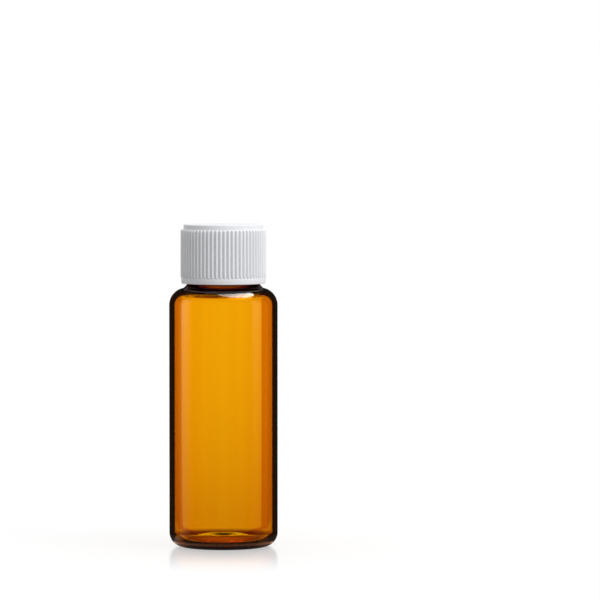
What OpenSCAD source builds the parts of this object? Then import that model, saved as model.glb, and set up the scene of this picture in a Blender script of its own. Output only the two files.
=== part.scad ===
// Glass sample vial with a ribbed screw cap and a loose sealing liner. Sizes are in millimetres.
// The vial stands on the XY plane with its axis on Z, and the cap is screwed fully down.

/* [Glass body] */
// Outside diameter of the body
body_d = 22; // [17:0.5:30]
// Thickness of the side wall
wall_t = 1.05; // [0.7:0.05:1.5]
// Height of the straight side, where the shoulder starts
straight_h = 49.1; // [30:0.1:90]
// Outside radius of the shoulder
shoulder_r = 3.5; // [2.8:0.1:4.5]
// Outside radius of the heel
heel_r = 2.9; // [2:0.1:3.8]
// Thickness of the glass over the standing ring
base_t = 1.3; // [0.9:0.1:2.5]
// Width of the flat ring that the vial stands on
ring_w = 0.9; // [0.5:0.1:1.5]
// Height of the hollow under the base
hollow_h = 0.45; // [0.2:0.05:0.8]
// Radius of the small rise in the middle of the base
button_r = 3.4; // [2:0.1:4]
// Height of that rise on the inside of the base
button_h = 0.5; // [0.1:0.05:0.8]
// Height of the dimple below it, on the underside
dimple_h = 0.2; // [0.05:0.05:0.4]

/* [Glass neck] */
// Diameter of the neck between its threads
neck_d = 13; // [10:0.1:16]
// Thickness of the neck's wall
neck_wall = 1.5; // [1.2:0.1:2]
// Height of the lip above the top of the shoulder
neck_h = 10.9; // [9:0.1:14]
// Radius of the curve that spreads the neck into the shoulder
flare_r = 4.8; // [3.5:0.1:6]
// How far that curve spreads before it meets the shoulder
flare_w = 1.6; // [1:0.1:2]
// Radius of the curve from the bore into the inside of the shoulder
throat_r = 2; // [1.5:0.1:3]
// Rounding of the lip
lip_r = 0.55; // [0.3:0.05:0.6]

/* [Thread] */
// Rise of the thread in one turn
thread_pitch = 2.117; // [1.7:0.001:2.6]
// How far the glass thread stands out from the neck
thread_depth = 0.75; // [0.5:0.05:1]
// Turns of thread on the glass
neck_turns = 1.75; // [1.25:0.25:1.75]
// Turns of thread inside the cap
cap_turns = 2; // [1:0.25:2]
// Distance from the lip down to the top end of the glass thread
thread_start = 1.5; // [1.2:0.1:2]
// Width of a thread at its foot
thread_foot = 1.1; // [0.9:0.05:1.2]
// Width of a thread at its crest
thread_crest = 0.42; // [0.3:0.01:0.5]
// Gap between the glass thread's crest and the cap's skirt
skirt_gap = 0.3; // [0.15:0.05:0.4]
// Gap between the cap thread's crest and the neck
crest_gap = 0.4; // [0.25:0.05:0.45]
// Gap between the two threads' flanks on the side that holds the cap down
flank_gap = 0.12; // [0.05:0.01:0.2]

/* [Cap] */
// Thickness of the cap's skirt under the grooves of its grip
skirt_t = 0.73; // [0.6:0.01:1.2]
// How far the ribs stand out from the grooves
rib_depth = 0.42; // [0.2:0.01:0.6]
// Number of ribs
rib_count = 64; // [40:1:80]
// Share of each rib's spacing that the rib itself takes
rib_share = 0.64; // [0.5:0.01:0.8]
// Slope cut at the upper end of each rib
rib_end = 0.2; // [0.1:0.05:0.4]
// Thickness of the cap's roof
roof_t = 1; // [0.8:0.1:1.5]
// Height of the smooth band at the open end
band_h = 1.2; // [0.8:0.1:2]
// How far the band lies inside the ribs' outer diameter
band_inset = 0.11; // [0.05:0.01:0.2]
// Height of the raised round face on top
face_h = 1.05; // [0.5:0.05:1.2]
// How far the raised face lies inside the bottom of the grooves
face_inset = 0.21; // [0.1:0.01:0.4]
// Rounding of the raised face's edge
face_round = 0.28; // [0.1:0.01:0.4]
// Gap between the cap's open end and the shoulder
cap_gap = 0.9; // [0.5:0.1:2]
// Depth of the wider mouth at the open end
mouth_h = 1.4; // [1:0.1:2]
// How much wider the mouth is on each side
mouth_step = 0.3; // [0.2:0.05:0.4]

/* [Liner] */
// Thickness of the liner
liner_t = 1; // [0.6:0.1:2]
// How far the liner reaches past the neck on each side
liner_reach = 0.5; // [0.4:0.05:0.6]
// Gap between the liner's edge and the cap around it
liner_gap = 0.1; // [0.05:0.01:0.15]
// How far the bead that holds the liner in stands in from the liner's recess
bead_depth = 0.25; // [0.2:0.01:0.3]
// Play of the liner between the bead and the roof
liner_play = 0.1; // [0.05:0.01:0.2]

/* [Hidden] */
$fn = 96;

// Steps of a turned curve, and degrees from one ring of a thread to the next
ARC_STEPS = 10;
THREAD_STEP = 10;
// Degrees over which each end of a thread runs out, and how deep its foot sits in the wall
THREAD_FADE = 50;
THREAD_ROOT = 0.25;
// Share of its height that a thread still has at its very end
THREAD_TIP = 0.1;
// Degrees that the cap's thread starts below the glass thread's lower end
THREAD_LEAD = 180;
// Where a rib's outline has its points, from one edge at -1 to the other at 1
RIB_POINTS = [-1, -0.85, -0.5, 0, 0.5, 0.85, 1];
// How far a cutting shape runs past what it cuts
CLEAR = 1;
AMBER = [0.72, 0.38, 0.04, 0.6];

body_r = body_d / 2;
neck_r = neck_d / 2;
bore_r = neck_r - neck_wall;
shoulder_top = straight_h + shoulder_r;
lip_z = shoulder_top + neck_h;

// The shoulder and the heel are arcs about these radii, inside and outside alike
shoulder_c = body_r - shoulder_r;
heel_c = body_r - heel_r;
hollow_r = heel_c - ring_w;
inner_shoulder_r = shoulder_r - wall_t;
inner_heel_r = heel_r - wall_t;

// Where the neck's flare meets the shoulder, and the height of the flare's centre
foot_r = neck_r + flare_w;
foot_out = max(0, foot_r - shoulder_c);
foot_z = straight_h + sqrt(pow(shoulder_r, 2) - pow(foot_out, 2));
flare_z = foot_z + sqrt(pow(flare_r, 2) - pow(flare_r - flare_w, 2));

// The throat's arc touches the bore and the inner shoulder's arc
throat_out = bore_r + throat_r - shoulder_c;
throat_z = straight_h + sqrt(pow(inner_shoulder_r + throat_r, 2) - pow(throat_out, 2));
throat_a = atan2(throat_z - straight_h, throat_out);

// Threads: the glass thread's lower end, and how far below it the cap's thread runs
crest_r = neck_r + thread_depth;
neck_thread_z = lip_z - thread_start - neck_turns * thread_pitch;
skirt_bore = crest_r + skirt_gap;
cap_crest_r = neck_r + crest_gap;
cap_thread_depth = skirt_bore - cap_crest_r;
flank_slope = (thread_foot - thread_crest) / 2 / (THREAD_ROOT + min(thread_depth, cap_thread_depth));
thread_drop = thread_crest + flank_slope * (crest_r - cap_crest_r) + flank_gap;
cap_thread_z = neck_thread_z - thread_drop - thread_pitch * THREAD_LEAD / 360;

// Cap and liner
groove_r = skirt_bore + skirt_t;
rib_r = groove_r + rib_depth;
band_r = rib_r - band_inset;
face_r = groove_r - face_inset;
cap_bottom = shoulder_top + cap_gap;
roof_z = lip_z + liner_t;
cap_top = roof_z + roof_t;
ribs_bottom = cap_bottom + band_h;
ribs_top = cap_top - face_h;
liner_r = neck_r + liner_reach;
recess_r = liner_r + liner_gap;
bead_r = recess_r - bead_depth;
bead_top = lip_z - liner_play;

// Points of an arc about c, from angle a to angle b
function arc(c, r, a, b) = [
    for (i = [0:ARC_STEPS])
        let (t = a + (b - a) * i / ARC_STEPS) [c[0] + r * cos(t), c[1] + r * sin(t)]
];

// The same points without the first, where an arc starts at the end of the last one
function tail(points) = [for (i = [1:len(points) - 1]) points[i]];

// Height of a smooth round swell of height h and radius r, at distance x from its middle
function swell(x, r, h) = x < r ? h * (1 + cos(180 * x / r)) / 2 : 0;

// Height of the base's underside and of the floor inside it, at distance x from the axis
function underside(x) = hollow_h * (1 - pow(x / hollow_r, 2)) + swell(x, button_r, dimple_h);
function floor_inside(x) = base_t + hollow_h * (1 - pow(x / heel_c, 2)) + swell(x, button_r, button_h);

// How much of its full height a thread has at angle a, on a thread that is length degrees long
function fade(a, length) = min(1, a / THREAD_FADE, (length - a) / THREAD_FADE);

// A list in the opposite order
function reversed(list) = [for (i = [len(list) - 1:-1:0]) list[i]];

// A right-hand thread whose middle rises from height z. It stands out from a wall of radius wall_r
// where side is 1, and in from it where side is -1.
module thread(wall_r, depth, turns, z, side) {
    length = 360 * turns;
    rings = ceil(length / THREAD_STEP);
    foot = wall_r - side * THREAD_ROOT;
    points = [
        for (i = [0:rings])
            let (
                a = length * i / rings,
                mid = z + thread_pitch * a / 360,
                share = THREAD_TIP + (1 - THREAD_TIP) * fade(a, length),
                crest = foot + side * (THREAD_ROOT + depth) * share
            )
            for (p = [
                [foot, -thread_foot / 2],
                [crest, -thread_crest / 2],
                [crest, thread_crest / 2],
                [foot, thread_foot / 2]
            ])
                [p[0] * cos(a), p[0] * sin(a), mid + p[1]]
    ];
    sides = [
        for (i = [0:rings - 1])
            for (k = [0:3])
                let (a = 4 * i + k, b = 4 * i + (k + 1) % 4)
                for (f = [[a, b, b + 4], [a, b + 4, a + 4]])
                    f
    ];
    ends = [[3, 2, 1, 0], [for (k = [0:3]) 4 * rings + k]];
    faces = concat(sides, ends);
    polyhedron(points, side > 0 ? faces : [for (f = faces) reversed(f)]);
}

// Half of the glass's section, without its thread
module glass_section() {
    flare_a = acos((flare_r - flare_w) / flare_r);
    flare = arc([neck_r + flare_r, flare_z], flare_r, 180 + flare_a, 180);
    polygon(concat(
        [for (i = [0:ARC_STEPS]) let (x = hollow_r * i / ARC_STEPS) [x, underside(x)]],
        arc([heel_c, heel_r], heel_r, -90, 0),
        arc([shoulder_c, straight_h], shoulder_r, 0, acos(foot_out / shoulder_r)),
        foot_out > 0 ? tail(flare) : flare,
        arc([neck_r - lip_r, lip_z - lip_r], lip_r, 0, 90),
        arc([bore_r + lip_r, lip_z - lip_r], lip_r, 90, 180),
        arc([bore_r + throat_r, throat_z], throat_r, 180, 180 + throat_a),
        tail(arc([shoulder_c, straight_h], inner_shoulder_r, throat_a, 0)),
        arc([heel_c, base_t + inner_heel_r], inner_heel_r, 0, -90),
        [for (i = [ARC_STEPS - 1:-1:0]) let (x = heel_c * i / ARC_STEPS) [x, floor_inside(x)]]
    ));
}

module glass_vial() {
    color(AMBER) union() {
        rotate_extrude() glass_section();
        thread(neck_r, thread_depth, neck_turns, neck_thread_z, 1);
    }
}

module cap_liner() {
    color("whitesmoke") translate([0, 0, lip_z]) cylinder(r = liner_r, h = liner_t);
}

// Outline of the grip: round ribs with flat grooves between them, and a groove on the X axis
module grip_outline() {
    spacing = 360 / rib_count;
    polygon([
        for (i = [0:rib_count - 1])
            for (u = RIB_POINTS)
                let (
                    a = spacing * (i + (1 + rib_share * u) / 2),
                    r = groove_r + rib_depth * sqrt(1 - u * u)
                )
                [r * cos(a), r * sin(a)]
    ]);
}

// The space that the ribs may fill, with their upper ends cut on a slope
module grip_limit() {
    reach = rib_r + CLEAR;
    rotate_extrude() polygon([
        [0, ribs_bottom],
        [reach, ribs_bottom],
        [reach, ribs_top - rib_end - (reach - rib_r)],
        [rib_r - rib_end, ribs_top],
        [0, ribs_top]
    ]);
}

// Half of the smooth outside: the band, and the core that the ribs stand on and that ends in the face
module cap_section() {
    polygon(concat(
        [[0, cap_bottom], [band_r, cap_bottom], [band_r, ribs_bottom], [face_r, ribs_bottom]],
        arc([face_r - face_round, cap_top - face_round], face_round, 0, 90),
        [[0, cap_top]]
    ));
}

// Half of the hollow inside: the mouth, the threaded bore, the bead and the liner's recess
module hollow_section() {
    bead_low = bead_top - bead_depth;
    mouth_r = skirt_bore + mouth_step;
    polygon([
        [0, cap_bottom - CLEAR],
        [mouth_r, cap_bottom - CLEAR],
        [mouth_r, cap_bottom + mouth_h],
        [skirt_bore, cap_bottom + mouth_h + mouth_step],
        [skirt_bore, bead_low - (skirt_bore - bead_r)],
        [bead_r, bead_low],
        [recess_r, bead_top],
        [recess_r, roof_z],
        [0, roof_z]
    ]);
}

module screw_cap() {
    color("white") union() {
        difference() {
            union() {
                rotate_extrude() cap_section();
                intersection() {
                    translate([0, 0, ribs_bottom])
                        linear_extrude(height = ribs_top - ribs_bottom) grip_outline();
                    grip_limit();
                }
            }
            rotate_extrude() hollow_section();
        }
        rotate([0, 0, -THREAD_LEAD])
            thread(skirt_bore, cap_thread_depth, cap_turns, cap_thread_z, -1);
    }
}

glass_vial();
cap_liner();
screw_cap();
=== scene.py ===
import math

import bpy
import numpy as np
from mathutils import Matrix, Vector


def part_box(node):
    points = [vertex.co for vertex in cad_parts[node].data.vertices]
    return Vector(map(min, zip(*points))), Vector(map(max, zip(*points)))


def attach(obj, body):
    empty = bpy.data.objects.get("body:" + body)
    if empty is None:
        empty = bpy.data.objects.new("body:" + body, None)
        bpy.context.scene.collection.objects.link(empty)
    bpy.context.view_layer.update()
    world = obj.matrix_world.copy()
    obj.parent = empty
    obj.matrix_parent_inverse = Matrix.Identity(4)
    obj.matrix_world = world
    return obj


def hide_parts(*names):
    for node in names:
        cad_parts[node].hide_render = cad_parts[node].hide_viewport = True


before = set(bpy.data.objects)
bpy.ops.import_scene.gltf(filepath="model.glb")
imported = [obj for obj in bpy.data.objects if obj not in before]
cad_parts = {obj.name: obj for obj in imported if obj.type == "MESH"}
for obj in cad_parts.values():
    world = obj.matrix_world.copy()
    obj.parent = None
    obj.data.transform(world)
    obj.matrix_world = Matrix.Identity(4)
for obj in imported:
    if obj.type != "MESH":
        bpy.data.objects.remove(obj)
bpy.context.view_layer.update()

MM = 0.001
TINY = 1e-6
FULL_TURN = 2 * math.pi


def corners(node):
    """Lowest and highest corner of a CAD node, in millimetres."""
    return [[round(c / MM, 3) for c in corner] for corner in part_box(node)]


def meeting(a, a_r, b, b_r):
    """The point that is a_r from a and b_r from b, to the left of the way from a to b."""
    across, up = b[0] - a[0], b[1] - a[1]
    gap = math.hypot(across, up)
    along = (a_r**2 - b_r**2 + gap**2) / (2 * gap)
    off = math.sqrt(a_r**2 - along**2)
    return (a[0] + (along * across - off * up) / gap, a[1] + (along * up + off * across) / gap)


# ---------------------------------------------------------------- sizes from the frame, in millimetres
BODY_R, _, LIP_Z = corners("glass_vial")[1]
LINER_R, _, ROOF_Z = corners("cap_liner")[1]
(_, _, CAP_LOW), (_, _, CAP_TOP) = corners("screw_cap")

# ---------------------------------------------------------------- sizes of the glass
WALL = 1.05
SHOULDER_R = 3.5
HEEL_R = 2.9
RING_WIDTH = 0.9
BASE_T = 1.3
# rise of the hollow under the base and of the floor above it, and the dip in the middle of that floor
HOLLOW_H = 1.6
FLOOR_H = 1.6
DIP_R = 4.2
DIP_H = 1.0
NECK_R = 6.5
NECK_WALL = 1.5
NECK_H = 10.9
LIP_R = 0.55
THROAT_R = 2.0
# the neck's foot spreads by this width in a wide curve, which a small one joins to the shoulder
FLARE_W = 1.6
FLARE_R = 4.8
FOOT_R = 0.4

INNER_R = BODY_R - WALL
INNER_SHOULDER_R = SHOULDER_R - WALL
INNER_HEEL_R = HEEL_R - WALL
HEEL_C = BODY_R - HEEL_R
HOLLOW_R = HEEL_C - RING_WIDTH
BORE_R = NECK_R - NECK_WALL
STRAIGHT_TOP = LIP_Z - NECK_H - SHOULDER_R
SHOULDER_C = (BODY_R - SHOULDER_R, STRAIGHT_TOP)
FLARE_LOW = STRAIGHT_TOP + math.sqrt(SHOULDER_R**2 - (NECK_R + FLARE_W - SHOULDER_C[0]) ** 2)
FLARE_C = (NECK_R + FLARE_R, FLARE_LOW + math.sqrt(FLARE_R**2 - (FLARE_R - FLARE_W) ** 2))
FOOT_C = meeting(SHOULDER_C, SHOULDER_R + FOOT_R, FLARE_C, FLARE_R - FOOT_R)
THROAT_REACH = INNER_SHOULDER_R + THROAT_R
THROAT_A = math.degrees(math.acos((BORE_R + THROAT_R - SHOULDER_C[0]) / THROAT_REACH))
THROAT_C = (BORE_R + THROAT_R, STRAIGHT_TOP + THROAT_REACH * math.sin(math.radians(THROAT_A)))

# ---------------------------------------------------------------- sizes of the two threads
PITCH = 2.117
# half a thread's width at its foot and at its crest, and the part of a turn over which its ends fade out
THREAD_FOOT = 0.53
THREAD_CREST = 0.16
THREAD_FADE = 50 / 360
THREAD_DEPTH = 0.75
NECK_TURNS = 1.75
# how far below the lip the glass thread ends
THREAD_END = 1.5
CAP_TURNS = 2.0
# how far the cap's thread stays from the neck, and how far it lies below the middle between two turns of the
# glass thread
CREST_GAP = 0.4
CAP_THREAD_DROP = 0.672

NECK_THREAD_Z = LIP_Z - THREAD_END - NECK_TURNS * PITCH
CAP_THREAD_Z = NECK_THREAD_Z - CAP_THREAD_DROP - PITCH / 2

# ---------------------------------------------------------------- sizes of the cap
RIBS = 64
RIB_DEPTH = 0.42
# half a rib's width, and where the mesh has points across a rib, as shares of the ribs' spacing
RIB_HALF = 0.32
RIB_COLUMNS = (-0.41, -0.34, -0.316, -0.28, -0.19, -0.07, 0.07, 0.19, 0.28, 0.316, 0.34, 0.41)
# the curve at a rib's foot: share of its depth, and height above the band
RIB_FOOT_INSET = 0.16
RIB_FOOT = ((0.3, 0.0), (0.65, 0.03), (0.9, 0.1), (1.0, 0.2))
# how much a rib thins towards the top, and its sloped upper end: how far in from its crest, how far below the
# ledge, and how far inside the grooves it lies at most
RIB_THIN = 0.03
RIB_END_H = 0.34
RIB_END = ((0.02, 0.24, 0.03), (0.08, 0.12, 0.03), (0.16, 0.04, 0.03), (0.24, 0.0, 0.07))
RIB_ROWS = 7
BAND_H = 1.2
BAND_INSET = 0.11
BAND_ROUND = 0.2
BAND_LOW_ROUND = 0.16
# the band is this much narrower at its lower edge, and full from this far below its top
BAND_TAPER = 0.04
BAND_FULL = 0.3
FACE_H = 1.05
FACE_INSET = 0.21
FACE_ROUND = 0.28
# the curves at the foot of the raised face and at the mouth's edge: how far out, and how far up
FACE_FOOT = ((0.08, 0.0), (0.02, 0.025), (0.0, 0.08))
MOUTH_EDGE = ((0.08, 0.0), (0.02, 0.02), (0.0, 0.08))
SKIRT_GAP = 0.3
SKIRT_T = 0.73
MOUTH_H = 1.4
MOUTH_STEP = 0.3
RECESS_GAP = 0.1
BEAD_DEPTH = 0.25
# the bead's crest: how far out from it, and how far above its lower edge
BEAD_CREST = ((0.06, -0.07), (0.0, 0.01), (0.03, 0.07))
ROOF_EDGE = 0.1
# radii of the rings that fill the roof's inside and the raised face
ROOF_RINGS = (5.0, 2.0)
FACE_RINGS = (5.5, 2.5)

SKIRT_R = NECK_R + THREAD_DEPTH + SKIRT_GAP
CAP_THREAD_DEPTH = SKIRT_R - NECK_R - CREST_GAP
GROOVE_R = SKIRT_R + SKIRT_T
BAND_R = GROOVE_R + RIB_DEPTH - BAND_INSET
BAND_TOP = CAP_LOW + BAND_H
RIB_TOP = CAP_TOP - FACE_H
FACE_R = GROOVE_R - FACE_INSET
MOUTH_R = SKIRT_R + MOUTH_STEP
MOUTH_TOP = CAP_LOW + MOUTH_H
SKIRT_LOW = MOUTH_TOP + MOUTH_STEP
RECESS_R = LINER_R + RECESS_GAP
BEAD_R = RECESS_R - BEAD_DEPTH

# ---------------------------------------------------------------- sizes of the liner
# its play between bead and roof, how far it stays clear of lip and roof here, and the rounding of its edge
LINER_PLAY = 0.1
LINER_CLEAR = 0.02
LINER_EDGE = 0.08
# radius of the ring that fills each of its sides
LINER_RING = 4.0

BEAD_TOP = LIP_Z - LINER_PLAY
BEAD_LOW = BEAD_TOP - BEAD_DEPTH
SKIRT_TOP = BEAD_LOW - (SKIRT_R - BEAD_R)

# points round the glass, the inside of the cap, and the liner
GLASS_SIDES = 256
CAP_SIDES = 256
LINER_SIDES = 128


# ---------------------------------------------------------------- outlines, in the plane of radius and height
def arc(centre, radius, start, end, steps):
    """Points of an arc about centre, angles in degrees."""
    angles = np.radians(np.linspace(start, end, steps + 1))
    return [(centre[0] + radius * math.cos(a), centre[1] + radius * math.sin(a)) for a in angles]


def line(a, b, steps):
    """Points from a to b, without a itself."""
    shares = [i / steps for i in range(1, steps + 1)]
    return [(a[0] + (b[0] - a[0]) * share, a[1] + (b[1] - a[1]) * share) for share in shares]


def dome(x, radius, height):
    """Height of a dome at distance x from its middle."""
    return height * (1 - (x / radius) ** 2)


def swell(x, radius, height):
    """Height of a round swell at distance x from its middle."""
    return height * (1 + math.cos(math.pi * x / radius)) / 2 if x < radius else 0.0


# ---------------------------------------------------------------- meshes
def smooth(x):
    """0 below 0, 1 above 1, and an even rise between."""
    x = np.clip(x, 0.0, 1.0)
    return x * x * (3.0 - 2.0 * x)


def ridge(theta, z, low, turns):
    """How far a helical thread stands out, from 0 to 1, at angle theta and height z. low is the height where
    it starts."""
    turn = theta / FULL_TURN
    nearest = np.round((z - low) / PITCH - turn) + turn
    nearest = np.clip(nearest, turn, turn + math.floor(turns - TINY))
    nearest = np.where(nearest > turns, nearest - 1, nearest)
    off = np.abs(z - low - PITCH * nearest)
    height = smooth((THREAD_FOOT - off) / (THREAD_FOOT - THREAD_CREST))
    fade = np.minimum(nearest, turns - nearest) / THREAD_FADE
    return height * smooth(fade)


def round_angles(count):
    """Even angles all the way round."""
    return np.arange(count) * FULL_TURN / count


def ring(radius, z, theta):
    """Points round the axis. radius is a number, or an array with one for each angle."""
    radius = radius * np.ones_like(theta)
    return np.column_stack((radius * np.cos(theta), radius * np.sin(theta), z * np.ones_like(theta)))


def threaded_rings(outline, theta, wall_r, depth, low, turns, start=0.0):
    """Rings of an outline whose wall of radius wall_r carries a thread, which starts at the angle start."""
    rings = []
    for radius, z in outline:
        on_wall = abs(radius - wall_r) < TINY
        out = depth * ridge((theta - start) % FULL_TURN, z, low, turns) if on_wall else 0.0
        rings.append(ring(radius + out, z, theta))
    return rings


def rings_mesh(rings, poles):
    """Vertices and faces of a stack of rings, each an array of points. poles are the points that close its
    two ends. Rings may differ in size by a whole factor."""
    points, faces, starts = [], [], []
    for each in rings:
        starts.append(len(points))
        points.extend(map(tuple, each))
    for k in range(len(rings) - 1):
        a, b = starts[k], starts[k + 1]
        na, nb = len(rings[k]), len(rings[k + 1])
        if na == nb:
            faces.extend((a + i, a + (i + 1) % na, b + (i + 1) % nb, b + i) for i in range(na))
            continue
        many, few, per = (a, b, na // nb) if na > nb else (b, a, nb // na)
        count = min(na, nb)
        for i in range(count):
            fan = [many + (per * i + j) % (per * count) for j in range(per + 1)]
            face = fan + [few + (i + 1) % count, few + i]
            faces.append(tuple(face if na > nb else face[::-1]))
    for end, pole in zip((0, -1), poles):
        points.append(tuple(pole))
        hub, start, count = len(points) - 1, starts[end], len(rings[end])
        for i in range(count):
            edge = (start + i, start + (i + 1) % count)
            faces.append((edge[1], edge[0], hub) if end == 0 else (*edge, hub))
    return points, faces


def make(name, rings, poles, look, body, node):
    """A visual piece that stands for a CAD node and moves with its body."""
    points, faces = rings_mesh(rings, poles)
    mesh = bpy.data.meshes.new(name)
    mesh.from_pydata([tuple(c * MM for c in p) for p in points], [], faces)
    mesh.validate()
    mesh.polygons.foreach_set("use_smooth", [True] * len(mesh.polygons))
    mesh.materials.append(look)
    obj = bpy.data.objects.new(name, mesh)
    bpy.context.scene.collection.objects.link(obj)
    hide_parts(node)
    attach(obj, body)


# ---------------------------------------------------------------- node trees
class Nodes:
    """Short ways to make and link the nodes of one tree."""

    def __init__(self, tree):
        self.tree = tree
        tree.nodes.clear()

    def new(self, kind, **values):
        node = self.tree.nodes.new(kind)
        for key, value in values.items():
            setattr(node, key, value)
        return node

    def link(self, a, b):
        self.tree.links.new(a, b)

    def put(self, socket, value):
        if isinstance(value, bpy.types.NodeSocket):
            self.link(value, socket)
        else:
            socket.default_value = value

    def math(self, operation, a, b=0.0):
        node = self.new("ShaderNodeMath", operation=operation)
        self.put(node.inputs[0], a)
        self.put(node.inputs[1], b)
        return node.outputs[0]

    def plus(self, a, b):
        return self.math("ADD", a, b)

    def less(self, a, b):
        return self.math("SUBTRACT", a, b)

    def product(self, *values):
        whole = values[0]
        for value in values[1:]:
            whole = self.math("MULTIPLY", whole, value)
        return whole

    def none(self, count):
        """1 where a count is still zero."""
        return self.math("LESS_THAN", count, 0.5)

    def step(self, value, low, high, soft=True):
        """Rises from 0 at low to 1 at high."""
        node = self.new("ShaderNodeMapRange", interpolation_type="SMOOTHSTEP" if soft else "LINEAR")
        self.put(node.inputs["Value"], value)
        node.inputs["From Min"].default_value = low
        node.inputs["From Max"].default_value = high
        return node.outputs["Result"]

    def fall(self, value, low, high):
        """Falls from 1 at low to 0 at high."""
        return self.less(1.0, self.step(value, low, high))

    def window(self, value, low, high, blur):
        """1 where value is between low and high, with edges blur wide."""
        rise = self.step(value, low - blur / 2, low + blur / 2)
        return self.product(rise, self.fall(value, high - blur / 2, high + blur / 2))

    def noise(self, scale, detail, vector=None, roughness=0.5):
        node = self.new("ShaderNodeTexNoise")
        node.inputs["Scale"].default_value = scale
        node.inputs["Detail"].default_value = detail
        node.inputs["Roughness"].default_value = roughness
        if vector is not None:
            self.link(vector, node.inputs["Vector"])
        return node.outputs["Fac"]

    def stretched(self, x, y, z):
        """Object coordinates, stretched."""
        coordinates = self.new("ShaderNodeTexCoord")
        mapping = self.new("ShaderNodeMapping")
        mapping.inputs["Scale"].default_value = (x, y, z)
        self.link(coordinates.outputs["Object"], mapping.inputs["Vector"])
        return mapping.outputs["Vector"]

    def ramp(self, value, stops):
        """A colour that changes with value: stops are pairs of place and colour."""
        node = self.new("ShaderNodeValToRGB")
        elements = node.color_ramp.elements
        while len(elements) < len(stops):
            elements.new(0.5)
        for element, (place, colour) in zip(elements, stops):
            element.position = place
            element.color = (*colour, 1.0)
        self.link(value, node.inputs["Fac"])
        return node.outputs["Color"]

    def mix(self, share, a, b, blend_type="MIX"):
        """A colour between a and b. The Mix node's sockets for colours are 6 and 7, and 2 for its result."""
        node = self.new("ShaderNodeMix", data_type="RGBA", blend_type=blend_type)
        self.put(node.inputs[0], share)
        self.put(node.inputs[6], a)
        self.put(node.inputs[7], b)
        return node.outputs[2]

    def times(self, colour, value):
        """A colour made stronger or weaker by a number."""
        node = self.new("ShaderNodeVectorMath", operation="SCALE")
        self.put(node.inputs[0], colour)
        self.put(node.inputs["Scale"], value)
        return node.outputs[0]

    def colour(self, value):
        """A plain colour."""
        node = self.new("ShaderNodeRGB")
        node.outputs[0].default_value = (*value, 1.0)
        return node.outputs[0]

    def total(self, *terms):
        """Adds up masks, each times a number or colour."""
        whole = None
        for mask, level in terms:
            if isinstance(level, bpy.types.NodeSocket) and level.type in ("RGBA", "VECTOR"):
                part = self.times(level, mask)
            else:
                part = self.times((1.0, 1.0, 1.0), self.product(mask, level))
            if whole is None:
                whole = part
                continue
            node = self.new("ShaderNodeVectorMath", operation="ADD")
            self.link(whole, node.inputs[0])
            self.link(part, node.inputs[1])
            whole = node.outputs[0]
        return whole

    def bump(self, height, strength, distance):
        node = self.new("ShaderNodeBump")
        node.inputs["Strength"].default_value = strength
        node.inputs["Distance"].default_value = distance
        self.link(height, node.inputs["Height"])
        return node.outputs["Normal"]

    def axes(self, vector):
        """The x, y and z of a vector."""
        node = self.new("ShaderNodeSeparateXYZ")
        self.link(vector, node.inputs[0])
        return node.outputs


def material(name):
    """A new material, ways to make its nodes, and its output node."""
    made = bpy.data.materials.new(name)
    made.use_nodes = True
    nodes = Nodes(made.node_tree)
    return made, nodes, nodes.new("ShaderNodeOutputMaterial")


# ---------------------------------------------------------------- materials of the object
GLASS_IOR = 1.47
# how strongly the amber glass takes up light, per metre, for the colour that gets through
ABSORB_DENSITY = 3200.0
ABSORB_COLOUR = (0.9875, 0.860, 0.02, 1.0)
# the glass's streaks and waves, per metre across and along the vial, and how the streaks tint it
STREAKS = (420.0, 420.0, 26.0)
STREAK_TINTS = [(0.3, (0.985, 0.975, 0.96)), (0.7, (1.0, 1.0, 1.0))]
WAVES = (300.0, 300.0, 38.0)
# painted shade in the glass round the foot of the neck, under the cap, with paler painted streaks of light in
# it, over a range of heights in millimetres, from low to high
NECK_SHADE_LOW = STRAIGHT_TOP + 3.1
NECK_SHADE_HIGH = STRAIGHT_TOP + 5.6
NECK_SHADE = [
    (0.0, (1.0, 1.0, 1.0)),
    (0.10, (0.14, 0.09, 0.08)),
    (0.24, (0.05, 0.02, 0.01)),
    (0.31, (0.07, 0.03, 0.02)),
    (0.40, (0.34, 0.29, 0.30)),
    (0.48, (0.05, 0.02, 0.01)),
    (0.60, (0.20, 0.14, 0.12)),
    (1.0, (0.80, 0.72, 0.65)),
]

PLASTIC_IOR = 1.49
PLASTIC_SPECULAR = 0.35
PLASTIC_MOTTLE = [(0.3, (0.775, 0.786, 0.808)), (0.7, (0.81, 0.821, 0.843))]
PLASTIC_ROUGH = (0.40, 0.52)
FOAM_CELLS = 5200.0
FOAM_SHADES = [(0.1, (0.80, 0.80, 0.77)), (0.7, (0.87, 0.87, 0.85))]
FOAM_ROUGH = 0.62


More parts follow.
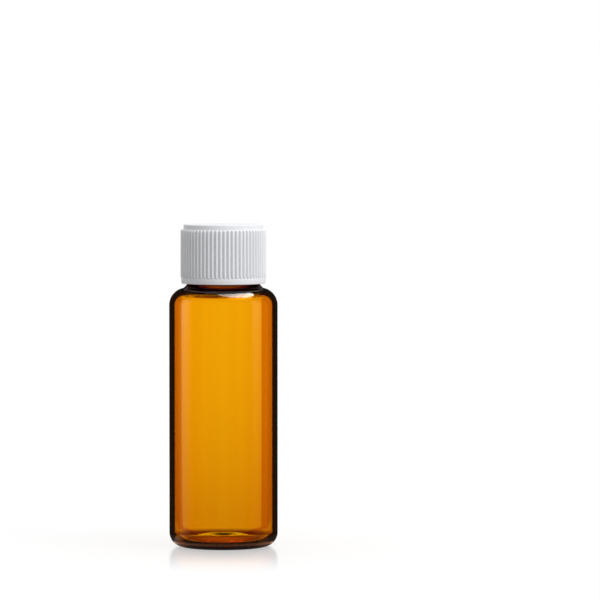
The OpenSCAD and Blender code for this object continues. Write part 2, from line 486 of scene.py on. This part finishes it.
def amber_glass():
    made, nodes, out = material("amber_glass")
    shader = nodes.new("ShaderNodeBsdfPrincipled")
    shader.inputs["Roughness"].default_value = 0.0
    shader.inputs["IOR"].default_value = GLASS_IOR
    shader.inputs["Transmission Weight"].default_value = 1.0
    # drawn tubing has faint streaks along its length, and the wall is never quite even
    streaks = nodes.noise(scale=1.0, detail=2.0, vector=nodes.stretched(*STREAKS))
    tint = nodes.ramp(streaks, STREAK_TINTS)
    # painted shade: the glass is darkened round the foot of the neck, under the cap, with paler painted streaks
    # of light
    height = nodes.axes(nodes.stretched(1.0, 1.0, 1.0))[2]
    place = nodes.step(height, NECK_SHADE_LOW * MM, NECK_SHADE_HIGH * MM, soft=False)
    neck_shade = nodes.ramp(place, NECK_SHADE)
    nodes.link(nodes.mix(1.0, tint, neck_shade, blend_type="MULTIPLY"), shader.inputs["Base Color"])
    waves = nodes.noise(scale=1.0, detail=1.5, vector=nodes.stretched(*WAVES))
    nodes.link(nodes.bump(waves, strength=0.04, distance=0.00006), shader.inputs["Normal"])
    nodes.link(shader.outputs[0], out.inputs["Surface"])
    volume = nodes.new("ShaderNodeVolumeAbsorption")
    volume.inputs["Color"].default_value = ABSORB_COLOUR
    volume.inputs["Density"].default_value = ABSORB_DENSITY
    nodes.link(volume.outputs[0], out.inputs["Volume"])
    return made


def white_plastic():
    made, nodes, out = material("white_plastic")
    shader = nodes.new("ShaderNodeBsdfPrincipled")
    shader.inputs["IOR"].default_value = PLASTIC_IOR
    shader.inputs["Specular IOR Level"].default_value = PLASTIC_SPECULAR
    mottle = nodes.noise(scale=260.0, detail=4.0)
    nodes.link(nodes.ramp(mottle, PLASTIC_MOTTLE), shader.inputs["Base Color"])
    rough = nodes.new("ShaderNodeMapRange")
    nodes.link(nodes.noise(scale=1400.0, detail=3.0), rough.inputs["Value"])
    rough.inputs["To Min"].default_value = PLASTIC_ROUGH[0]
    rough.inputs["To Max"].default_value = PLASTIC_ROUGH[1]
    nodes.link(rough.outputs["Result"], shader.inputs["Roughness"])
    grain = nodes.noise(scale=5200.0, detail=4.0, roughness=0.6)
    nodes.link(nodes.bump(grain, strength=0.25, distance=0.00003), shader.inputs["Normal"])
    nodes.link(shader.outputs[0], out.inputs["Surface"])
    return made


def liner_foam():
    made, nodes, out = material("liner_foam")
    shader = nodes.new("ShaderNodeBsdfPrincipled")
    cells = nodes.new("ShaderNodeTexVoronoi")
    cells.inputs["Scale"].default_value = FOAM_CELLS
    nodes.link(nodes.ramp(cells.outputs["Distance"], FOAM_SHADES), shader.inputs["Base Color"])
    shader.inputs["Roughness"].default_value = FOAM_ROUGH
    dents = nodes.bump(cells.outputs["Distance"], strength=0.3, distance=0.00005)
    nodes.link(dents, shader.inputs["Normal"])
    nodes.link(shader.outputs[0], out.inputs["Surface"])
    return made


# ---------------------------------------------------------------- glass vial
def direction(centre, point):
    """Degrees from centre to point, anticlockwise from straight out."""
    return math.degrees(math.atan2(point[1] - centre[1], point[0] - centre[0])) % 360


def glass_vial():
    """From the middle of the underside out, up and in to the lip, then down the inside and along the floor."""
    base_steps = 24
    shares = [i / base_steps for i in range(1, base_steps + 1)]
    outline = [(HOLLOW_R * share, dome(HOLLOW_R * share, HOLLOW_R, HOLLOW_H)) for share in shares]
    outline += line((HOLLOW_R, 0), (HEEL_C, 0), steps=3)
    outline += arc((HEEL_C, HEEL_R), HEEL_R, -90, 0, steps=28)[1:]
    outline += line((BODY_R, HEEL_R), (BODY_R, STRAIGHT_TOP), steps=10)
    foot_a = direction(SHOULDER_C, FOOT_C)
    flare_a = direction(FLARE_C, FOOT_C)
    outline += arc(SHOULDER_C, SHOULDER_R, 0, foot_a, steps=30)[1:]
    outline += arc(FOOT_C, FOOT_R, foot_a + 180, flare_a, steps=6)[1:]
    outline += arc(FLARE_C, FLARE_R, flare_a, 180, steps=20)[1:]
    lip_low = LIP_Z - LIP_R
    outline += line((NECK_R, FLARE_C[1]), (NECK_R, lip_low), steps=76)
    outline += arc((NECK_R - LIP_R, lip_low), LIP_R, 0, 90, steps=8)[1:]
    outline += arc((BORE_R + LIP_R, lip_low), LIP_R, 90, 180, steps=8)
    outline += line((BORE_R, lip_low), (BORE_R, THROAT_C[1]), steps=10)
    outline += arc(THROAT_C, THROAT_R, 180, 180 + THROAT_A, steps=20)[1:]
    outline += arc(SHOULDER_C, INNER_SHOULDER_R, THROAT_A, 0, steps=26)[1:]
    inner_low = BASE_T + INNER_HEEL_R
    outline += line((INNER_R, STRAIGHT_TOP), (INNER_R, inner_low), steps=10)
    outline += arc((HEEL_C, inner_low), INNER_HEEL_R, 0, -90, steps=20)[1:]
    for share in shares[-2::-1]:
        x = HEEL_C * share
        outline.append((x, BASE_T + dome(x, HEEL_C, FLOOR_H) - swell(x, DIP_R, DIP_H)))
    theta = round_angles(GLASS_SIDES)
    rings = threaded_rings(outline, theta, NECK_R, THREAD_DEPTH, NECK_THREAD_Z, NECK_TURNS)
    poles = ((0, 0, HOLLOW_H), (0, 0, BASE_T + FLOOR_H - DIP_H))
    make("glass_vial_blown", rings, poles, amber_glass(), "vial", "glass_vial")


# ---------------------------------------------------------------- screw cap
def cap_outside():
    """Rings from the open end's face up the outside to the raised face's edge."""
    across = np.tile(RIB_COLUMNS, RIBS)
    theta = (np.repeat(np.arange(RIBS), len(RIB_COLUMNS)) + 0.5 + across) * FULL_TURN / RIBS
    stand = np.sqrt(np.clip(1 - (across / RIB_HALF) ** 2, 0, 1))
    grip = GROOVE_R + RIB_DEPTH * stand
    # the open end's face, the band and its two rounded edges
    outline = [(MOUTH_R + MOUTH_EDGE[0][0], CAP_LOW + MOUTH_EDGE[0][1])]
    band_low_r = BAND_R - BAND_TAPER - BAND_LOW_ROUND
    outline += arc((band_low_r, CAP_LOW + BAND_LOW_ROUND), BAND_LOW_ROUND, -90, 0, steps=4)
    outline.append((BAND_R, BAND_TOP - BAND_FULL))
    outline += arc((BAND_R - BAND_ROUND, BAND_TOP - BAND_ROUND), BAND_ROUND, 0, 80, steps=5)
    # the ribs stand on the band, with a small curve at their feet, and thin very slightly towards the top
    foot_r = BAND_R - RIB_FOOT_INSET
    outline += [(foot_r + (grip - foot_r) * share, BAND_TOP + up) for share, up in RIB_FOOT]
    low, high = BAND_TOP + RIB_FOOT[-1][1], RIB_TOP - RIB_END_H
    for i in range(1, RIB_ROWS + 1):
        share = i / RIB_ROWS
        outline.append((grip - RIB_THIN * stand * share, low + (high - low) * share))
    # the sloped upper ends of the ribs, and the narrow ledge inside them
    crest = grip - RIB_THIN * stand
    outline += [(np.maximum(crest - drop, GROOVE_R - inset), RIB_TOP - down) for drop, down, inset in RIB_END]
    outline += [(FACE_R + out, RIB_TOP + up) for out, up in FACE_FOOT]
    outline.append((FACE_R, CAP_TOP - FACE_ROUND))
    outline += arc((FACE_R - FACE_ROUND, CAP_TOP - FACE_ROUND), FACE_ROUND, 0, 90, steps=7)[1:]
    return [ring(radius, z, theta) for radius, z in outline]


def cap_inside(theta):
    """Rings from the open end up the inside to the roof."""
    outline = [(MOUTH_R + out, CAP_LOW + up) for out, up in MOUTH_EDGE[1:]]
    outline += [(MOUTH_R, MOUTH_TOP), (SKIRT_R, SKIRT_LOW)]
    outline += line((SKIRT_R, SKIRT_LOW), (SKIRT_R, SKIRT_TOP), steps=78)
    outline += [(BEAD_R + out, BEAD_LOW + up) for out, up in BEAD_CREST]
    outline += [(RECESS_R, BEAD_TOP), (RECESS_R, ROOF_Z - ROOF_EDGE), (RECESS_R - ROOF_EDGE, ROOF_Z)]
    outline += [(radius, ROOF_Z) for radius in ROOF_RINGS]
    return threaded_rings(outline, theta, SKIRT_R, -CAP_THREAD_DEPTH, CAP_THREAD_Z, CAP_TURNS, start=math.pi)


def screw_cap():
    """From the middle of the roof down the inside, then up the outside and in to the middle of the top."""
    theta = round_angles(CAP_SIDES) + (RIB_COLUMNS[0] + 0.5) * FULL_TURN / RIBS
    top = [ring(radius, CAP_TOP, theta) for radius in FACE_RINGS]
    rings = cap_inside(theta)[::-1] + cap_outside() + top
    poles = ((0, 0, ROOF_Z), (0, 0, CAP_TOP))
    make("screw_cap_moulded", rings, poles, white_plastic(), "cap", "screw_cap")


# ---------------------------------------------------------------- liner
def cap_liner():
    low, high = LIP_Z + LINER_CLEAR, ROOF_Z - LINER_CLEAR
    flat_r, edge_r = LINER_R - 2 * LINER_EDGE, LINER_R - LINER_EDGE
    outline = [(LINER_RING, low), (flat_r, low)]
    outline += arc((edge_r, low + LINER_EDGE), LINER_EDGE, -90, 0, steps=4)
    outline += arc((edge_r, high - LINER_EDGE), LINER_EDGE, 0, 90, steps=4)
    outline += [(flat_r, high), (LINER_RING, high)]
    rings = [ring(radius, z, round_angles(LINER_SIDES)) for radius, z in outline]
    poles = ((0, 0, low), (0, 0, high))
    make("cap_liner_disc", rings, poles, liner_foam(), "liner", "cap_liner")


glass_vial()
screw_cap()
cap_liner()

# ---------------------------------------------------------------- studio
# White surroundings show to the camera, in blurred gloss and, a touch brighter, through the glass. A reflection
# in the clear glass meets the darker studio, with its softboxes, and matt surfaces get an even, soft light.
WHITE = 1.0
BEHIND = 1.06
# light from behind, for a ray that the glass reflected once and that passed through this many of its surfaces
BACKLIGHT = 1.5
BACKLIGHT_SURFACES = 4.0
AMBIENT = 0.46
DARK = 0.016
# softboxes at the sides, in degrees round from the camera's side: outer edge, inner edge and its blur. Then
# their light on the floor: at the vial, what it gains in a metre, and the power of the reach that it grows with
LEFT_BOX = (-102.2, -79.5, 23.0, 0.16, 0.69, 1.0)
RIGHT_BOX = (88.0, 65.0, 4.0, 0.03, 0.34, 2.0)
# half the blur of their outer edges, how far away they stand, and over which degrees of height they end
BOX_EDGE = 0.7
BOX_REACH = 1.1
BOX_TOP = (28.0, 32.0)
# the round softbox overhead, as slopes from straight up: its middle and half its size, across and front to
# back, then its light, and where it fades at its edge, as squares of shares of its size
TOP_BOX_X = (0.33, 0.46)
TOP_BOX_Y = (0.10, 0.50)
TOP_BOX_LIGHT = 12.0
TOP_BOX_EDGE = (0.93, 1.05)
# its share of light at its left edge, and between which shares of its size that grows to the whole
TOP_BOX_DIM = 0.35
TOP_BOX_GROW = (-1.0, 0.2)
# over which rises of a direction the overhead box comes into sight, and the least rise used for its slopes
TOP_BOX_RISE = (0.1, 0.2)
LEAST_RISE = 0.05
# the studio is darker from this height up, in degrees, as seen through the glass
CEILING = (15.0, 40.0)
CEILING_DARK = 0.85
# every eighth of a turn there is a white screen, with warmer, darker cloth between: half a screen's width, how
# far they are all turned round, and half the blur of their edges, in degrees
SCREEN_STEP = 45.0
SCREEN_HALF = 7.8
SCREEN_TURN = 2.3
SCREEN_EDGE = 0.3
BETWEEN = (0.80, 0.52, 0.50)

# ---------------------------------------------------------------- floor, in metres from the vial's axis
FLOOR_HALF = 12.0
# what the camera sees: glowing paper with a little matt shade, under a faint blurred gloss close to the vial
FLOOR_MATT = 0.15
FLOOR_GLOW = 0.85
# the gloss is tinted warm: painted amber light from the glass on the floor close to the vial
FLOOR_GLOSS_AMBER_LIGHT = (1.0, 0.975, 0.945)
FLOOR_BLUR = 0.16
FLOOR_SHEEN = 0.43
SHEEN_REACH = (0.005, 0.054)
# what shows through the glass: painted shade close by that turns white over these powers of ten of the reach,
# darkened by the painted shade round the vial's foot, and a painted shade tinted by amber light under its base
FLOOR_NEAR_SHADE = (0.76, 0.64, 0.62)
FAR_POWERS = (-1.3, 0.1)
CONTACT_SHADE = (0.20, 0.08, 0.04)
CONTACT_SHADE_REACH = (0.0155, 0.0295)
UNDER_BASE_SHADE = (0.45, 0.22, 0.30)
UNDER_BASE_SHADE_REACH = (0.003, 0.0085)
# what the outside of the glass mirrors: painted light on the floor close by, and a brighter ring of painted
# light under the heel that makes a painted highlight there, from one reach to another with the blur of its
# edges
CLOSE_LIGHT = (0.06, 0.05, 0.04)
CLOSE_LIGHT_REACH = (0.013, 0.03)
RIM_LIGHT = (0.9, 0.40, 0.23)
RIM_LIGHT_REACH = (0.0102, 0.0112, 0.0008)
# a ray leaves from the vial's side and not from its axis, so it meets the floor at a place that lies short of
# its heading, by this many degrees divided by the reach or by the least reach
SLIP = 0.43
SLIP_LEAST = 0.041


def ray_kinds(nodes):
    """The Light Path outputs, and how much of each kind of surroundings a ray meets: bright directly, through
    the glass and in blurred gloss, mirror as a reflection in clear glass, and other from matt surfaces."""
    path = nodes.new("ShaderNodeLightPath").outputs
    matt = nodes.none(path["Diffuse Depth"])
    once = nodes.math("COMPARE", path["Glossy Depth"], 1.0)
    walls = nodes.math("COMPARE", path["Transmission Depth"], BACKLIGHT_SURFACES)
    outside = nodes.none(path["Transmission Depth"])
    passed = nodes.product(path["Is Transmission Ray"], nodes.none(path["Glossy Depth"]))
    clear = nodes.math("MAXIMUM", path["Is Camera Ray"], passed)
    blurred = nodes.product(path["Is Glossy Ray"], outside, nodes.less(1.0, path["Is Singular Ray"]))
    gloss = nodes.math("MAXIMUM", blurred, nodes.product(once, walls, BACKLIGHT))
    bright = nodes.product(nodes.math("MAXIMUM", clear, gloss), matt)
    mirror = nodes.less(matt, nodes.math("MINIMUM", bright, 1.0))
    return path, bright, mirror, nodes.less(1.0, matt)


def bearing(nodes, x, y):
    """Degrees round from the camera's side, positive towards +X."""
    return nodes.math("DEGREES", nodes.math("ARCTAN2", x, nodes.product(y, -1.0)))


def side_boxes(nodes, degrees, reach=BOX_REACH, slip=0.0):
    """Light of the softboxes at the sides, and on the floor at some reach. slip is how many degrees a place
    is short of where a ray is heading."""
    boxes = []
    for outer, inner, blur, close, more, power in (LEFT_BOX, RIGHT_BOX):
        heading = nodes.plus(nodes.product(degrees, math.copysign(1.0, outer)), slip)
        rise = nodes.step(heading, abs(inner) - blur / 2, abs(inner) + blur / 2)
        fall = nodes.fall(heading, abs(outer) - BOX_EDGE, abs(outer) + BOX_EDGE)
        level = nodes.plus(close, nodes.product(nodes.math("POWER", reach, power), more))
        boxes.append(nodes.product(rise, fall, level))
    return nodes.plus(*boxes)


def screens(nodes, degrees, slip=0.0):
    """White where a screen stands, and the colour of the cloth between."""
    place = nodes.new("ShaderNodeMath", operation="WRAP")
    nodes.link(nodes.less(degrees, SCREEN_TURN), place.inputs[0])
    place.inputs[1].default_value = SCREEN_STEP / 2
    place.inputs[2].default_value = -SCREEN_STEP / 2
    off = nodes.less(nodes.math("ABSOLUTE", place.outputs[0]), slip)
    edge = nodes.step(off, SCREEN_HALF - SCREEN_EDGE, SCREEN_HALF + SCREEN_EDGE)
    return nodes.mix(edge, (1.0, 1.0, 1.0, 1.0), (*BETWEEN, 1.0))


def overhead_box(nodes, x, y, z):
    """Light of the round softbox overhead, in the direction of x, y and z."""
    up = nodes.math("MAXIMUM", z, LEAST_RISE)
    slopes = []
    for side, (middle, half) in ((x, TOP_BOX_X), (y, TOP_BOX_Y)):
        slopes.append(nodes.math("DIVIDE", nodes.less(nodes.math("DIVIDE", side, up), middle), half))
    off = nodes.plus(nodes.math("POWER", slopes[0], 2.0), nodes.math("POWER", slopes[1], 2.0))
    lit = nodes.fall(off, *TOP_BOX_EDGE)
    growing = nodes.plus(TOP_BOX_DIM, nodes.product(nodes.step(slopes[0], *TOP_BOX_GROW), 1.0 - TOP_BOX_DIM))
    return nodes.product(lit, growing, nodes.step(z, *TOP_BOX_RISE), TOP_BOX_LIGHT)


def studio_world():
    world = bpy.data.worlds.new("studio")
    bpy.context.scene.world = world
    world.use_nodes = True
    world.cycles.sampling_method = "NONE"
    nodes = Nodes(world.node_tree)
    path, bright, mirror, other = ray_kinds(nodes)
    x, y, z = nodes.axes(nodes.new("ShaderNodeTexCoord").outputs["Generated"])
    degrees = bearing(nodes, x, y)
    height = nodes.math("DEGREES", nodes.math("ARCSINE", z))
    sides = nodes.product(side_boxes(nodes, degrees), nodes.fall(height, *BOX_TOP))
    reflected = nodes.plus(nodes.plus(sides, overhead_box(nodes, x, y, z)), DARK)
    ceiling = nodes.product(nodes.step(height, *CEILING), CEILING_DARK)
    behind = nodes.times(screens(nodes, degrees), nodes.product(nodes.less(1.0, ceiling), BEHIND))
    seen = nodes.mix(path["Is Transmission Ray"], (WHITE, WHITE, WHITE, 1.0), behind)
    background = nodes.new("ShaderNodeBackground")
    colour = nodes.total((bright, seen), (mirror, reflected), (other, AMBIENT))
    nodes.link(colour, background.inputs["Color"])
    out = nodes.new("ShaderNodeOutputWorld")
    nodes.link(background.outputs[0], out.inputs["Surface"])


def paper(nodes, reach):
    """What the camera sees: white paper that keeps the shadow, and a faint reflection close to the vial."""
    matt = nodes.new("ShaderNodeBsdfDiffuse")
    matt.inputs["Color"].default_value = (FLOOR_MATT, FLOOR_MATT, FLOOR_MATT, 1.0)
    glow = nodes.new("ShaderNodeEmission")
    glow.inputs["Strength"].default_value = FLOOR_GLOW
    white = nodes.new("ShaderNodeAddShader")
    nodes.link(matt.outputs[0], white.inputs[0])
    nodes.link(glow.outputs[0], white.inputs[1])
    gloss = nodes.new("ShaderNodeBsdfAnisotropic", distribution="GGX")
    gloss.inputs["Color"].default_value = (*FLOOR_GLOSS_AMBER_LIGHT, 1.0)
    gloss.inputs["Roughness"].default_value = FLOOR_BLUR
    sheen = nodes.product(nodes.fall(reach, *SHEEN_REACH), FLOOR_SHEEN)
    surface = nodes.new("ShaderNodeMixShader")
    nodes.link(sheen, surface.inputs[0])
    nodes.link(white.outputs[0], surface.inputs[1])
    nodes.link(gloss.outputs[0], surface.inputs[2])
    return surface.outputs[0]


def floor_through_glass(nodes, degrees, reach, slip):
    """What shows through the glass, with painted shade near the vial, round its foot and under its base."""
    far = nodes.step(nodes.math("LOGARITHM", reach, 10.0), *FAR_POWERS)
    white = nodes.mix(far, (*FLOOR_NEAR_SHADE, 1.0), (BEHIND, BEHIND, BEHIND, 1.0))
    through = nodes.mix(1.0, white, screens(nodes, degrees, slip), blend_type="MULTIPLY")
    shade = nodes.mix(nodes.step(reach, *CONTACT_SHADE_REACH), (*CONTACT_SHADE, 1.0), (1.0, 1.0, 1.0, 1.0))
    through = nodes.mix(1.0, through, shade, blend_type="MULTIPLY")
    return nodes.mix(nodes.step(reach, *UNDER_BASE_SHADE_REACH), (*UNDER_BASE_SHADE, 1.0), through)


def floor_in_mirror(nodes, degrees, reach, slip, outside):
    """What the glass mirrors: the softboxes' light, and near the vial painted light that only its outside
    shows.
    """
    sides = side_boxes(nodes, degrees, nodes.math("MINIMUM", reach, BOX_REACH), slip)
    close = nodes.product(nodes.fall(reach, *CLOSE_LIGHT_REACH), outside)
    rim = nodes.product(nodes.window(reach, *RIM_LIGHT_REACH), outside)
    lights = (nodes.plus(sides, DARK), 1.0)
    return nodes.total((close, nodes.colour(CLOSE_LIGHT)), (rim, nodes.colour(RIM_LIGHT)), lights)


def studio_floor():
    made, nodes, out = material("pale_floor")
    path, bright, mirror, other = ray_kinds(nodes)
    x, y, _ = nodes.axes(nodes.new("ShaderNodeNewGeometry").outputs["Position"])
    degrees = bearing(nodes, x, y)
    reach = nodes.math("SQRT", nodes.plus(nodes.math("POWER", x, 2.0), nodes.math("POWER", y, 2.0)))
    slip = nodes.math("DIVIDE", SLIP, nodes.math("MAXIMUM", reach, SLIP_LEAST))
    through = floor_through_glass(nodes, degrees, reach, slip)
    inside = floor_in_mirror(nodes, degrees, reach, slip, nodes.none(path["Transmission Depth"]))
    lit = nodes.new("ShaderNodeEmission")
    nodes.link(nodes.total((bright, through), (mirror, inside), (other, AMBIENT)), lit.inputs["Color"])
    switch = nodes.new("ShaderNodeMixShader")
    nodes.link(path["Is Camera Ray"], switch.inputs[0])
    nodes.link(lit.outputs[0], switch.inputs[1])
    nodes.link(paper(nodes, reach), switch.inputs[2])
    nodes.link(switch.outputs[0], out.inputs["Surface"])
    made.cycles.emission_sampling = "NONE"
    mesh = bpy.data.meshes.new("floor")
    half = FLOOR_HALF
    square = [(-half, -half, 0), (half, -half, 0), (half, half, 0), (-half, half, 0)]
    mesh.from_pydata(square, [], [(0, 1, 2, 3)])
    mesh.materials.append(made)
    floor = bpy.data.objects.new("floor", mesh)
    bpy.context.scene.collection.objects.link(floor)


def lamp(name, towards, spread, strength):
    """A soft light from far off, spread over some degrees. The glass and the gloss don't show it."""
    data = bpy.data.lights.new(name, "SUN")
    data.angle = math.radians(spread)
    data.energy = strength
    obj = bpy.data.objects.new(name, data)
    obj.rotation_euler = Vector(towards).to_track_quat("Z", "Y").to_euler()
    obj.visible_camera = False
    obj.visible_glossy = False
    obj.visible_transmission = False
    bpy.context.scene.collection.objects.link(obj)


studio_world()
studio_floor()
lamp("key", towards=(0.76, -0.55, 0.33), spread=50.0, strength=1.85)
lamp("overhead", towards=(0.12, -0.05, 0.85), spread=40.0, strength=1.15)
lamp("fill", towards=(-0.30, 0.90, 0.30), spread=50.0, strength=0.6)

# ---------------------------------------------------------------- camera
# it stands to the right of the vial and looks straight back, so that the vial shows left of the middle
SENSOR = 36.0
LENS = 273.6
CAMERA_PLACE = (0.01554, -0.924, 0.094)
# degrees from looking straight down
CAMERA_TILT = 87.28

camera = bpy.data.objects.new("camera", bpy.data.cameras.new("camera"))
camera.data.sensor_width = SENSOR
camera.data.lens = LENS
camera.location = CAMERA_PLACE
camera.rotation_euler = (math.radians(CAMERA_TILT), 0, 0)
bpy.context.scene.collection.objects.link(camera)
bpy.context.scene.camera = camera
bpy.context.scene.view_settings.view_transform = "Standard"
